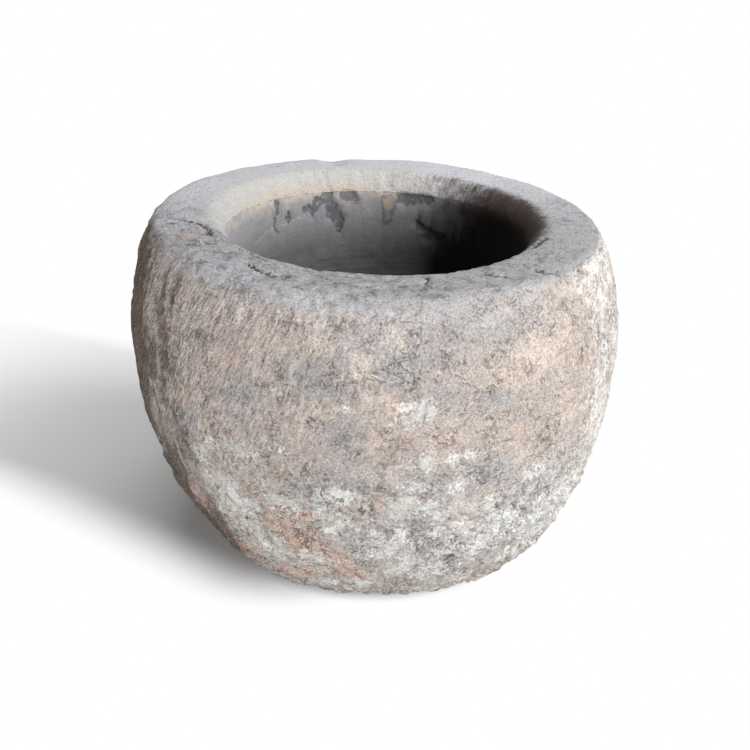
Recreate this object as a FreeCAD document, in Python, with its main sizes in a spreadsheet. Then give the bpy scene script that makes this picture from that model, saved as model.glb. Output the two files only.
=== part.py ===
"""Old stone trough: one block hewn to a rounded bowl shape, hollowed out, with lime crust on its outside.

The block stands on a small flat foot, swells to its widest at about two thirds of its height and draws in
again to a thick, slightly sloping rim. A short flared lip leads from the rim into a smooth round bowl. It is
narrow at the front on the left and wide at the back on the right. The hewing left shallow hollows low down and
upright furrows on the left. Thin patches of lime crust sit on the outside, most of them low down.

Millimetres. The origin is on the ground under the middle of the block, +Z is up, and the front is -Y.
"""

import FreeCAD, Part
import math
import os

import Sketcher

Vector = FreeCAD.Vector

# Driving sizes: alias, value, what it is.
SIZES = (
    ("block_length", 454, "block from left to right"),
    ("block_width", 440, "block from front to back"),
    ("rim_height", 323, "ground to the rim, on the axis"),
    ("rim_slope", 2.2, "degrees that the rim falls from left to right"),
    ("dressing_allowance", 24, "stone above the rim that is dressed away"),
    ("rim_edge_radius", 9, "rounding of the rim's outer edge"),
    ("mouth_diameter", 278, "bowl where the lip ends"),
    ("mouth_shift_right", 3, "bowl axis to the right of the block's axis"),
    ("bowl_depth", 215, "rim to the bowl's lowest point, on the bowl's axis"),
    ("bowl_wall_lean", 6, "degrees that the bowl's wall leans in on the way down"),
    ("lip_depth", 13, "rim to the bottom of the lip"),
    ("lip_flare", 13, "how far the lip opens outwards over its depth"),
    ("lip_edge_radius", 6, "rounding where the lip meets the rim"),
    ("lip_shift", 6, "lip's axis off the bowl's axis"),
    ("lip_shift_bearing", 134, "degrees from the front towards the right in which the lip is shifted"),
    ("hollow_radius", 300, "radius of the ball that a hewn hollow follows"),
    ("hollow_depth", 3.5, "depth of a hewn hollow"),
    ("furrow_radius", 35, "radius of a furrow, measured across it"),
    ("furrow_half_length", 160, "half the length of the long ball that a furrow follows"),
    ("furrow_depth", 4, "depth of a furrow"),
    ("crust_thickness", 2, "thickness of the lime crust, measured outwards"),
    ("crust_seat_gap", 0.3, "clearance between the stone and the crust that lies on it"),
    ("crust_lobe", 10, "radius of an ordinary round lobe of crust"),
)

# Outlines of the block from the ground up: name, height, and reach to the right, back, left and front of the
# upright axis through the origin. All are in percent: heights of the rim's height, reaches to the right and
# left of the block's length, and reaches to the back and front of its width.
# The crown lies above the rim by the dressing allowance, so its height isn't given here.
SIDES = ("right", "back", "left", "front")
OUTLINES = (
    ("foot", 0, 31.6, 26.4, 27.2, 26.2),
    ("heel", 6.2, 37.9, 35.5, 34.4, 35.7),
    ("lower_wall", 18.6, 43.2, 41.8, 40.5, 42.0),
    ("middle_wall", 35.6, 47.4, 46.8, 46.5, 46.8),
    ("upper_wall", 55.7, 49.8, 49.5, 49.8, 49.3),
    ("belly", 75.9, 49.8, 50.0, 50.0, 50.0),
    ("shoulder", 91.6, 46.9, 47.7, 47.8, 48.0),
    ("crown", None, 40.3, 44.1, 41.9, 42.5),
)

# Traces of the hewing, outline by outline: the outline that they lie on, the degrees that the wall faces
# down there, and the bearing of each in degrees from the front towards the right. The hollows are round and
# the furrows are upright. None lies under the crust.
HEWN_HOLLOWS = (
    ("lower_wall", 27, (44, 66, 92, 118, 145, 171, -163, -140, -120)),
    ("middle_wall", 17, (53, 79, 105, 132, 158, -176, -150, -130)),
    ("upper_wall", 6, (38, 92, 146, -162)),
    ("belly", -5, (-47, 66, 119, 172)),
)
HEWN_FURROWS = (
    ("lower_wall", 27, (-56, -70, -84, -101)),
    ("middle_wall", 17, (-70, -88, -108)),
    ("upper_wall", 6, (-71, -87, -104)),
    ("belly", -5, (-71, -88, -106)),
)

# Lime crust, patch by patch: degrees from the front towards the right, height in percent of the rim's
# height, and the patch's round lobes, each as its distance to the right of the patch's middle, its distance
# above it and its radius, in ordinary lobes.
CRUST_PATCHES = (
    ("left_high", -43, 52.0, ((-0.6, -0.4, 0.8), (0.6, 0.4, 0.8))),
    ("left_middle", -31, 56.3, ((-1.1, -0.4, 0.7), (0, 0.1, 0.8), (1.1, 0.3, 0.7))),
    ("left", -38, 44.3, ((-1.5, 0, 1.0), (0, -0.1, 1.2), (1.5, 0.1, 0.9))),
    ("left_low", -37, 35.3, ((0.1, 0.5, 0.8), (-0.1, -0.5, 0.7))),
    ("front_left", -22, 42.7, ((-1.5, 0.4, 1.0), (0, -0.1, 1.1), (1.3, -0.4, 0.9))),
    ("front_left_low", -31.5, 30.7, ((-0.2, 0.5, 0.8), (0.2, -0.5, 0.9))),
    ("front_left_foot", -27, 20.7, ((-0.3, 1.1, 0.8), (0, 0.1, 1.1), (0.3, -1.1, 0.9))),
    ("front", -11, 38.7, ((-0.4, 0.6, 0.7), (0.4, -0.5, 0.9))),
    ("front_low", 1, 26.3, ((-0.2, 0.5, 0.7), (0.2, -0.5, 0.8))),
    ("front_foot", -19.5, 19.8, ((-0.5, 0.2, 0.7), (0.5, -0.1, 0.7))),
    ("front_right_high", 9, 70.0, ((-1.1, -0.4, 0.9), (0, 0.3, 1.3), (1.1, -0.2, 1.0))),
    ("front_right_middle", 11, 56.7, ((-0.4, 0.3, 0.9), (0.4, -0.4, 0.9))),
    ("front_right", 5.5, 43.0, ((-0.6, 1.0, 1.1), (0.6, 0.1, 1.3), (-0.2, -1.1, 1.0))),
    ("right", 27, 39.3, ((-0.1, 0.3, 0.7), (0.1, -0.3, 0.6))),
    ("right_low", 19, 32.5, ((-1.4, 0.2, 0.8), (0, -0.1, 1.0), (1.4, 0.1, 0.8))),
    ("right_foot", 13, 18.0, ((-0.4, 0.2, 0.7), (0.4, -0.1, 0.7))),
)
# Distance from the axis at which the lobes start, inside the stone, in percent of the block's length.
LOBE_START_PERCENT = 28.6


def percent(alias, share):
    """Expression for a share of one of the sheet's sizes."""
    return f"{alias} * {share} / 100"


def make_sheet(doc):
    """Spreadsheet of the driving sizes, one row each, with the outlines' heights and reaches after them."""
    rows = list(SIZES)
    for name, height, *reaches in OUTLINES:
        if height is not None:
            level = "=" + percent("rim_height", height)
            rows.append((f"{name}_height", level, f"ground to the {name} outline"))
        for side, reach in zip(SIDES, reaches):
            whole = "block_length" if side in ("right", "left") else "block_width"
            distance = "=" + percent(whole, reach)
            rows.append((f"{name}_{side}", distance, f"{name} outline, axis to the {side}"))
    sheet = doc.addObject("Spreadsheet::Sheet", "Sizes")
    for row, (alias, value, note) in enumerate(rows, start=1):
        sheet.set(f"A{row}", note)
        sheet.set(f"B{row}", str(value))
        sheet.setAlias(f"B{row}", alias)
    doc.recompute()


def new_sketch(body, name, role):
    """Empty sketch on one of the body's own origin planes."""
    plane = next(feature for feature in body.Origin.OriginFeatures if feature.Role == role)
    sketch = body.newObject("Sketcher::SketchObject", name)
    sketch.AttachmentSupport = [(plane, "")]
    sketch.MapMode = "FlatFace"
    return sketch


def bind(sketch, constraint, expression):
    """Adds a dimension to a sketch and ties it to an expression on the sheet."""
    index = sketch.addConstraint(constraint)
    sketch.setExpression(f"Constraints[{index}]", expression)


# An outline is a closed cubic spline with eight poles, one every 45 degrees. Where it passes a pole it is
# four sixths of that pole and one sixth of each neighbour, and a diagonal pole is as far out as the mean of
# the two beside it. So the poles on the axes follow from the four reaches by a rule with these shares.
POLE_COUNT = 8
DIAGONAL = math.sqrt(0.5)
OWN_SHARE = 4 + DIAGONAL
SIDE_SHARE = DIAGONAL / 2


def pole_expression(outline, side, growth):
    """Distance of the pole on one axis, so that the spline reaches the sheet's value plus the growth."""

    def reaches(sides):
        return "(" + " + ".join(f"Sizes.{outline}_{each} + {growth}" for each in sides) + ")"

    lengthwise, crosswise = ("right", "left"), ("back", "front")
    along, across = (lengthwise, crosswise) if side in lengthwise else (crosswise, lengthwise)
    across_poles = (
        f"6 * ({OWN_SHARE} * {reaches(across)} - {2 * SIDE_SHARE} * {reaches(along)})"
        f" / {OWN_SHARE ** 2 - 4 * SIDE_SHARE ** 2}"
    )
    return f"(6 * {reaches((side,))} - {SIDE_SHARE} * {across_poles}) / {OWN_SHARE}"


def hold_pole(sketch, pole, side, expression):
    """Dimensions a pole's distance from the axis towards one side, as a positive value."""
    origin, centre = (-1, 1), (pole, 3)
    outwards = (origin, centre) if side in ("right", "back") else (centre, origin)
    kind = "DistanceX" if side in ("right", "left") else "DistanceY"
    rough = sketch.Document.Sizes.block_length / 2
    bind(sketch, Sketcher.Constraint(kind, *outwards[0], *outwards[1], rough), expression)


def outline_sketch(body, outline, height, growth):
    """Sketch of one closed outline of the block, at its height."""
    sketch = new_sketch(body, f"{body.Name}_{outline}", "XY_Plane")
    sketch.setExpression("AttachmentOffset.Base.z", height)
    turns = [2 * math.pi * pole / POLE_COUNT for pole in range(POLE_COUNT)]
    rough = sketch.Document.Sizes.block_length / 2
    poles = [rough * Vector(math.cos(turn), math.sin(turn), 0) for turn in turns]
    spline = Part.BSplineCurve()
    spline.buildFromPolesMultsKnots(poles, [1] * (POLE_COUNT + 1), list(range(POLE_COUNT + 1)), True, 3)
    sketch.exposeInternalGeometry(sketch.addGeometry(spline, False))
    axis_x, axis_y = -1, -2
    for quarter, side in enumerate(SIDES):
        next_side = SIDES[(quarter + 1) % len(SIDES)]
        on_axis = 2 * quarter + 1
        own = pole_expression(outline, side, growth)
        hold_pole(sketch, on_axis, side, own)
        axis = axis_x if side in ("right", "left") else axis_y
        sketch.addConstraint(Sketcher.Constraint("PointOnObject", on_axis, 3, axis))
        diagonal = f"({own} + {pole_expression(outline, next_side, growth)}) / 2 * {DIAGONAL}"
        hold_pole(sketch, on_axis + 1, side, diagonal)
        hold_pole(sketch, on_axis + 1, next_side, diagonal)
    return sketch


def hewn_form(doc, name, growth="0"):
    """Body lofted through all the outlines, each reaching out by the growth as well."""
    body = doc.addObject("PartDesign::Body", name)
    sketches = []
    for outline, height, *_ in OUTLINES:
        place = f"Sizes.{outline}_height"
        if height is None:
            place = "Sizes.rim_height + Sizes.dressing_allowance"
        sketches.append(outline_sketch(body, outline, place, growth))
    doc.recompute()
    loft = body.newObject("PartDesign::AdditiveLoft", f"{name}_loft")
    loft.Profile = sketches[0]
    loft.Sections = sketches[1:]
    doc.recompute()
    return body


def dress_rim(doc, body):
    """Takes the top of the block off along the sloping rim."""
    sketch = new_sketch(body, "RimPlane", "XY_Plane")
    slope = FreeCAD.Rotation(Vector(0, 1, 0), 1)
    sketch.AttachmentOffset = FreeCAD.Placement(Vector(), slope)
    sketch.setExpression("AttachmentOffset.Base.z", "Sizes.rim_height")
    sketch.setExpression("AttachmentOffset.Rotation.Angle", "Sizes.rim_slope")
    ample = doc.Sizes.block_length
    disc = sketch.addGeometry(Part.Circle(Vector(), Vector(0, 0, 1), ample), False)
    sketch.addConstraint(Sketcher.Constraint("Coincident", disc, 3, -1, 1))
    bind(sketch, Sketcher.Constraint("Radius", disc, ample), "Sizes.block_length")
    cut = body.newObject("PartDesign::Pocket", "DressedRim")
    cut.Profile = sketch
    cut.Type = "Length"
    cut.setExpression("Length", "Sizes.rim_height")
    cut.Reversed = True
    doc.recompute()


def turn_out(doc, body, name, sketch):
    """Turns a profile out of the body, about the profile's own upright axis."""
    doc.recompute()
    groove = body.newObject("PartDesign::Groove", name)
    groove.Profile = sketch
    groove.ReferenceAxis = (sketch, ["V_Axis"])
    groove.Angle = 360
    doc.recompute()


def hollow_bowl(doc, body):
    """Turns the bowl out of the block."""
    sketch = new_sketch(body, "BowlProfile", "XZ_Plane")
    sketch.setExpression("AttachmentOffset.Base.x", "Sizes.mouth_shift_right")
    # Rough places, which the dimensions below then set: a half ball with a straight wall above it.
    sizes = doc.Sizes
    top = sizes.rim_height + sizes.dressing_allowance
    mouth = sizes.mouth_diameter / 2
    wall_head = Vector(mouth, top, 0)
    lid_middle = Vector(0, top, 0)
    bowl_floor = Vector(0, sizes.rim_height - sizes.bowl_depth, 0)
    ball_centre = bowl_floor + Vector(0, mouth, 0)
    wall_foot = ball_centre + Vector(mouth, 0, 0)
    ball = Part.Circle(ball_centre, Vector(0, 0, 1), mouth)
    wall, lid, axis, floor = sketch.addGeometry([
        Part.LineSegment(wall_foot, wall_head),
        Part.LineSegment(wall_head, lid_middle),
        Part.LineSegment(lid_middle, bowl_floor),
        Part.ArcOfCircle(ball, -math.pi / 2, 0),
    ], False)
    start, end, middle = 1, 2, 3
    origin, upright = -1, -2
    sketch.addConstraint([
        Sketcher.Constraint("Coincident", wall, end, lid, start),
        Sketcher.Constraint("Coincident", lid, end, axis, start),
        Sketcher.Constraint("Coincident", axis, end, floor, start),
        Sketcher.Constraint("Tangent", floor, end, wall, start),
        Sketcher.Constraint("PointOnObject", axis, start, upright),
        Sketcher.Constraint("PointOnObject", axis, end, upright),
        Sketcher.Constraint("PointOnObject", floor, middle, upright),
        Sketcher.Constraint("Horizontal", lid),
    ])
    lid_height = "Sizes.rim_height + Sizes.dressing_allowance"
    lean = "tan(Sizes.bowl_wall_lean * 1 deg) * (Sizes.lip_depth + Sizes.dressing_allowance)"
    dimensions = (
        (("DistanceX", origin, 1, wall, end, wall_head.x), f"Sizes.mouth_diameter / 2 + {lean}"),
        (("DistanceY", origin, 1, wall, end, wall_head.y), lid_height),
        (("DistanceY", origin, 1, axis, end, bowl_floor.y), "Sizes.rim_height - Sizes.bowl_depth"),
        (("Angle", wall, end, upright, end, 0.1), "Sizes.bowl_wall_lean * 1 deg"),
    )
    for constraint, expression in dimensions:
        bind(sketch, Sketcher.Constraint(*constraint), expression)
    turn_out(doc, body, "Bowl", sketch)


def flare_lip(doc, body):
    """Turns the flared lip out of the bowl's mouth, about an axis that is a little off the bowl's own."""
    sketch = new_sketch(body, "LipProfile", "XZ_Plane")
    rightwards = "Sizes.lip_shift * sin(Sizes.lip_shift_bearing * 1 deg)"
    forwards = "Sizes.lip_shift * cos(Sizes.lip_shift_bearing * 1 deg)"
    sketch.setExpression("AttachmentOffset.Base.x", f"Sizes.mouth_shift_right + {rightwards}")
    sketch.setExpression("AttachmentOffset.Base.z", forwards)
    # Rough places, which the dimensions below then set. The profile starts below the lip, inside the bowl.
    sizes = doc.Sizes
    mouth = sizes.mouth_diameter / 2
    foot = Vector(mouth - sizes.lip_flare, sizes.rim_height - 2 * sizes.lip_depth, 0)
    head = Vector(mouth + 2 * sizes.lip_flare, sizes.rim_height + sizes.dressing_allowance, 0)
    lid_middle = Vector(0, head.y, 0)
    foot_middle = Vector(0, foot.y, 0)
    flare, lid, axis, base = sketch.addGeometry([
        Part.LineSegment(foot, head),
        Part.LineSegment(head, lid_middle),
        Part.LineSegment(lid_middle, foot_middle),
        Part.LineSegment(foot_middle, foot),
    ], False)
    start, end = 1, 2
    origin, upright = -1, -2
    sketch.addConstraint([
        Sketcher.Constraint("Coincident", flare, end, lid, start),
        Sketcher.Constraint("Coincident", lid, end, axis, start),
        Sketcher.Constraint("Coincident", axis, end, base, start),
        Sketcher.Constraint("Coincident", base, end, flare, start),
        Sketcher.Constraint("PointOnObject", axis, start, upright),
        Sketcher.Constraint("PointOnObject", axis, end, upright),
        Sketcher.Constraint("Horizontal", lid),
        Sketcher.Constraint("Horizontal", base),
    ])
    rise = "(Sizes.lip_depth + Sizes.dressing_allowance)"
    head_run = f"Sizes.lip_flare / Sizes.lip_depth * {rise}"
    dimensions = (
        (("DistanceX", origin, 1, flare, start, foot.x), "Sizes.mouth_diameter / 2 - Sizes.lip_flare"),
        (("DistanceY", origin, 1, flare, start, foot.y), "Sizes.rim_height - 2 * Sizes.lip_depth"),
        (("DistanceX", origin, 1, flare, end, head.x), f"Sizes.mouth_diameter / 2 + {head_run}"),
        (("DistanceY", origin, 1, flare, end, head.y), "Sizes.rim_height + Sizes.dressing_allowance"),
    )
    for constraint, expression in dimensions:
        bind(sketch, Sketcher.Constraint(*constraint), expression)
    turn_out(doc, body, "Lip", sketch)


def rim_loops(shape):
    """Names of the edges round the rim's flat top, the lip's first and then the outer one."""
    top = max((face for face in shape.Faces if face.Surface.TypeId == "Part::GeomPlane"),
              key=lambda face: face.CenterOfMass.z)
    loops = []
    for number, edge in enumerate(shape.Edges, start=1):
        if any(edge.isSame(each) for each in top.Edges):
            loops.append((edge.Length, f"Edge{number}"))
    return [name for _, name in sorted(loops)]


def round_edge(doc, body, name, edge, radius):
    """Rounds one edge of the body."""
    base = body.Tip
    fillet = body.newObject("PartDesign::Fillet", name)
    fillet.Base = (base, [edge])
    fillet.setExpression("Radius", radius)
    doc.recompute()


def wall_reach(outline, turn):
    """Expression for an outline's distance from the axis at a bearing, from its reaches to both sides."""
    aside = "right" if math.sin(turn) > 0 else "left"
    ahead = "front" if math.cos(turn) > 0 else "back"
    share = math.sin(turn) ** 2
    return f"({share:.6f} * Sizes.{outline}_{aside} + {1 - share:.6f} * Sizes.{outline}_{ahead})"


def place_tool(tool, outline, facing_down, bearing, standoff):
    """Puts a cutter's middle straight out from the wall on an outline, with its long way up the wall."""
    turn, tilt = math.radians(bearing), math.radians(facing_down)
    level = Vector(math.sin(turn), -math.cos(turn), 0)
    upright = Vector(0, 0, 1)
    outwards = math.cos(tilt) * level - math.sin(tilt) * upright
    upwards = math.sin(tilt) * level + math.cos(tilt) * upright
    tool.Placement = FreeCAD.Placement(Vector(), FreeCAD.Rotation(outwards, Vector(), upwards, "ZXY"))
    reach = wall_reach(outline, turn)
    for axis in ("x", "y"):
        along, out = getattr(level, axis), getattr(outwards, axis)
        tool.setExpression(f"Placement.Base.{axis}", f"{along:.6f} * {reach} + {out:.6f} * ({standoff})")
    height = f"Sizes.{outline}_height + {outwards.z:.6f} * ({standoff})"
    tool.setExpression("Placement.Base.z", height)


def hew_outside(doc, body):
    """Leaves the hollows and the furrows of the hewing in the block's outside."""
    for outline, facing_down, bearings in HEWN_HOLLOWS:
        for number, bearing in enumerate(bearings, start=1):
            ball = body.newObject("PartDesign::SubtractiveSphere", f"Hollow_{outline}_{number}")
            ball.setExpression("Radius", "Sizes.hollow_radius")
            place_tool(ball, outline, facing_down, bearing, "Sizes.hollow_radius - Sizes.hollow_depth")
    for outline, facing_down, bearings in HEWN_FURROWS:
        for number, bearing in enumerate(bearings, start=1):
            ball = body.newObject("PartDesign::SubtractiveEllipsoid", f"Furrow_{outline}_{number}")
            ball.setExpression("Radius1", "Sizes.furrow_half_length")
            ball.setExpression("Radius2", "Sizes.furrow_radius")
            ball.setExpression("Radius3", "Sizes.furrow_radius")
            place_tool(ball, outline, facing_down, bearing, "Sizes.furrow_radius - Sizes.furrow_depth")
    doc.recompute()


def make_block(doc):
    """The hewn and hollowed block, with its worn edges rounded."""
    block = hewn_form(doc, "Block")
    for step in (dress_rim, hollow_bowl, flare_lip):
        before = block.Shape.Volume
        step(doc, block)
        if block.Shape.Volume >= before:
            raise RuntimeError(f"{step.__name__} took no stone away")

    lip_edge, _ = rim_loops(block.Shape)
    round_edge(doc, block, "LipEdge", lip_edge, "Sizes.lip_edge_radius")
    _, outer_edge = rim_loops(block.Shape)
    round_edge(doc, block, "RimEdge", outer_edge, "Sizes.rim_edge_radius")
    before = block.Shape.Volume
    hew_outside(doc, block)
    if block.Shape.Volume >= before:
        raise RuntimeError("the hewing took no stone away")
    block.Label = "stone_block"
    return block


def crust_patch(doc, skin, name, bearing, height, lobes):
    """One patch of crust: the skin round the block, kept only where a bundle of rods passes through it."""
    turn = math.radians(bearing)
    outwards = Vector(math.sin(turn), -math.cos(turn), 0)
    rightwards = Vector(math.cos(turn), math.sin(turn), 0)
    facing = FreeCAD.Rotation(Vector(0, 0, 1), outwards)
    depth, level = percent("Sizes.block_length", LOBE_START_PERCENT), percent("Sizes.rim_height", height)
    rods = []
    for number, (right, up, radius) in enumerate(lobes, start=1):
        rod = doc.addObject("Part::Cylinder", f"Lobe_{name}_{number}")
        rod.Placement = FreeCAD.Placement(Vector(), facing)
        for axis in ("x", "y"):
            out, aside = getattr(outwards, axis), right * getattr(rightwards, axis)
            place = f"{out:.6f} * {depth} + {aside:.6f} * Sizes.crust_lobe"
            rod.setExpression(f"Placement.Base.{axis}", place)
        rod.setExpression("Placement.Base.z", f"{level} + {up} * Sizes.crust_lobe")
        rod.setExpression("Radius", f"{radius} * Sizes.crust_lobe")
        rod.setExpression("Height", "Sizes.block_length")
        rods.append(rod)
    bundle = doc.addObject("Part::MultiFuse", f"Lobes_{name}")
    bundle.Shapes = rods
    patch = doc.addObject("Part::MultiCommon", f"Crust_{name}")
    patch.Shapes = [skin, bundle]
    return patch


def make_crust(doc):
    """All the patches of crust, lying on the block's outside."""
    seat = hewn_form(doc, "CrustSeat", growth="Sizes.crust_seat_gap")
    outside = hewn_form(doc, "CrustOutside", growth="Sizes.crust_seat_gap + Sizes.crust_thickness")
    skin = doc.addObject("Part::Cut", "CrustSkin")
    skin.Base = outside
    skin.Tool = seat
    patches = [crust_patch(doc, skin, *patch) for patch in CRUST_PATCHES]
    crust = doc.addObject("Part::Compound", "Crust")
    crust.Links = patches
    crust.Label = "lime_crust"
    doc.recompute()
    for patch in patches:
        if len(patch.Shape.Solids) != 1:
            raise RuntimeError(f"{patch.Name} is {len(patch.Shape.Solids)} solids, not one")
    return crust


def check(doc, subparts):
    """Stops on any failed object and on any sub-part without a sound shape."""
    for item in doc.Objects:
        if "Invalid" in item.State or "Error" in item.State:
            raise RuntimeError(f"{item.Name} failed: {item.State}")
    for subpart in subparts:
        if subpart.Shape.isNull() or not subpart.Shape.isValid():
            raise RuntimeError(f"{subpart.Label} has no sound shape")


def main():
    doc = FreeCAD.newDocument("StoneTrough")
    make_sheet(doc)
    subparts = [make_block(doc), make_crust(doc)]
    check(doc, subparts)
    os.makedirs("parts", exist_ok=True)
    for subpart in subparts:
        subpart.Shape.exportStep(f"parts/{subpart.Label}.step")
        print(subpart.Label, len(subpart.Shape.Solids), "solids", round(subpart.Shape.Volume), "mm3")


main()
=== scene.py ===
"""Old stone trough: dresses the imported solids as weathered, hand-hewn stone on a pale floor.

The block is a merged copy of its solid, cut finer, hewn, pitted, chipped and painted by place.
The lime crust is grown on that surface, at the places of its solids.
"""

import math

import bpy
import numpy as np
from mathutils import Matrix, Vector, noise


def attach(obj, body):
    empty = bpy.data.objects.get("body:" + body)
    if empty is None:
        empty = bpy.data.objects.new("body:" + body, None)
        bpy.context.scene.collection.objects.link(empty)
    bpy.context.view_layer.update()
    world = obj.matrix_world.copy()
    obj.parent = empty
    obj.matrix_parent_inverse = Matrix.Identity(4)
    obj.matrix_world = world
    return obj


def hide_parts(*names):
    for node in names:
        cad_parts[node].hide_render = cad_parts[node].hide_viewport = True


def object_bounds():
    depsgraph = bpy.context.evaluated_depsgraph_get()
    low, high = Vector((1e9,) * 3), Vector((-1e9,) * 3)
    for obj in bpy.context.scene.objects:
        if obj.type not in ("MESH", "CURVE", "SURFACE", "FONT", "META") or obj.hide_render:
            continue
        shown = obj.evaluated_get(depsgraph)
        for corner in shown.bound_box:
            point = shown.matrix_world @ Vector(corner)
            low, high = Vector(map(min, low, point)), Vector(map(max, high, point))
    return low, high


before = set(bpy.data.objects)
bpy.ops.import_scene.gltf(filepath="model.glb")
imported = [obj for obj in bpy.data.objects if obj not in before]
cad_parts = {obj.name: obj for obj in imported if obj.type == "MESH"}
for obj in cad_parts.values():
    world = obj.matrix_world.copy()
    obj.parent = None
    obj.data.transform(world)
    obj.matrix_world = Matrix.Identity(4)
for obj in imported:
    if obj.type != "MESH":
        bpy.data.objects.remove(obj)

CAD_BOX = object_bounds()

bl_info = {
    "name": "Old Stone Trough",
    "version": (1, 0, 0),
    "blender": (4, 5, 0),
    "location": "3D View > Sidebar > Trough",
    "description": "Builds a weathered stone trough with lime crust, on a pale studio floor",
    "category": "Add Mesh",
}

MM = 0.001

# Sizes of the solid that the hewing follows, in millimetres. The rim falls from left to right.
RIM_HEIGHT = 323.0
RIM_FALL = math.tan(math.radians(2.2))
BOWL_AXIS_X = 3.0
LIP_AXIS = (7.3, 4.2)
LIP_RADIUS = 152.0
MOUTH_RADIUS = 139.0
RIM_MIDDLE = 170.0
WALL_RADIUS = 215.0
BOWL_BOTTOM = 95.0
RIM_LOWEST = 250.0
FOOT_HEIGHT = 6.0

# Depth below the rim, in millimetres, over which the lip turns into the bowl's wall, and how far up or down
# the surface faces where it turns into the wall, the rim's top or the foot's underside.
LIP_DEPTH = (20, 26)
WALL_FACING = (0.5, 0.25)
TOP_FACING = (0.55, 0.9)
FOOT_FACING = (-0.6, -0.9)

# Bearings round the bowl, in degrees, of the rim's front, the bowl's deepest painted shade and the lip's
# brown, which is partly painted shade.
RIM_FRONT = 15
SHADED_SIDE = 102
SHADED_BROWN_SIDE = 108

# Triangles that the block may have, and the room in millimetres that it leaves inside the solids' box.
MOST_TRIANGLES = 190000
BOX_ROOM = 0.15

# A material's noise lies round its middle, and is spread to span nearly 0 to 1.
GRAIN_MIDDLE = 0.5
GRAIN_SPREAD = 2.4


def linear(red, green, blue):
    """A colour picked on a screen, 0 to 255, as Blender's linear values."""
    def channel(value):
        value = value / 255
        return value / 12.92 if value <= 0.04045 else ((value + 0.055) / 1.055) ** 2.4
    return (channel(red), channel(green), channel(blue))


def colour_property(name, description, *rgb):
    """A colour that a user may change."""
    return bpy.props.FloatVectorProperty(
        name=name, description=description, subtype="COLOR", size=3, min=0, max=1, default=linear(*rgb))


def length_property(name, description, millimetres):
    """A length that a user may change."""
    return bpy.props.FloatProperty(
        name=name, description=description, unit="LENGTH", min=0, precision=4, default=millimetres * MM)


def power_property(name, description, watts):
    """A lamp's power that a user may change."""
    return bpy.props.FloatProperty(name=name, description=description, unit="POWER", min=0, default=watts)


class StoneSettings(bpy.types.PropertyGroup):
    """Hewing and colours of the block."""
    grain: length_property("Grain", "Side of the cells that the block is cut into before it is hewn", 1.9)
    waves: length_property("Waves", "Depth of the broad unevenness of the outside", 1.4)
    lumps: length_property("Lumps", "Depth of the hewn lumps of the outside", 1.7)
    cobbles: length_property("Cobbles", "Depth of the rounded lumps low on the outside", 2.2)
    pits: length_property("Pits", "Depth of the small pits of the outside", 1.3)
    furrows: length_property("Furrows", "Depth of the narrow tool furrows on the left", 2.0)
    wear: length_property("Wear", "How far the rim is worn down where it is smooth", 0.2)
    hollows: length_property("Hollows", "Depth of the flaked hollows in the bowl", 1.2)
    tan: colour_property("Weathered skin", "Tan skin of the outside", 179, 168, 161)
    grey: colour_property("Bare stone", "Grey stone under the skin", 158, 156, 157)
    cream: colour_property("Cream grains", "Bright cream and ochre grains", 203, 188, 173)
    lime: colour_property("Lime bloom", "Greyish white lime stains", 216, 215, 212)
    rust: colour_property("Baked skin", "Reddish areas near the foot", 205, 168, 149)
    # Umber is dark soil, and also painted shade in the pits, crevices, flakes' feet and on the left side.
    umber: colour_property("Soiled skin", "Dark brown soil in furrows and pits", 92, 78, 68)
    rim: colour_property("Worn rim", "Cool grey of the rim in front", 156, 156, 159)
    pale_rim: colour_property("Pale rim", "Pale lilac grey of the rim behind", 206, 206, 212)
    lip: colour_property("Lip", "Pale pecked lip", 186, 185, 182)
    ochre: colour_property("Ochre band", "Ochre stain under the lip", 196, 178, 158)
    bowl: colour_property("Bowl", "Smooth grey of the bowl", 156, 156, 158)
    hollow: colour_property("Hollow", "Dark flaked hollows in the bowl", 100, 100, 106)
    # The lip's brown on the right is partly a stain and partly painted shade.
    lip_brown_and_shade: colour_property("Lip stain", "Brown stain of the lip on the right", 70, 58, 50)
    # Painted shade: the bowl is darkened towards this colour deep down and on its right.
    stain: colour_property("Bowl stain", "Dark brown stain deep in the bowl", 8, 6, 5)


class CrustSettings(bpy.types.PropertyGroup):
    """Lime crust."""
    thickness: length_property("Thickness", "How far the crust stands off the stone", 1.3)
    colour: colour_property("Crust", "Chalky white of the crust", 216, 214, 210)
    stain: colour_property("Stain", "Pinkish grey stain in the crust", 196, 187, 180)


class StageSettings(bpy.types.PropertyGroup):
    """Floor, lamps and camera."""
    floor: colour_property("Floor", "Pale floor", 246, 246, 246)
    side_power: power_property("Side lamp", "Power of the soft lamp on the right", 51)
    front_power: power_property("Front lamp", "Power of the low soft lamp in front", 42)
    top_power: power_property("Top lamp", "Power of the soft lamp above", 22)
    sky: bpy.props.FloatProperty(
        name="Room light", description="Strength of the even light from all round", min=0, default=0.08)
    lens: bpy.props.FloatProperty(
        name="Lens", description="Focal length in millimetres on a 36 mm sensor", min=1, default=64.56)


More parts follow.
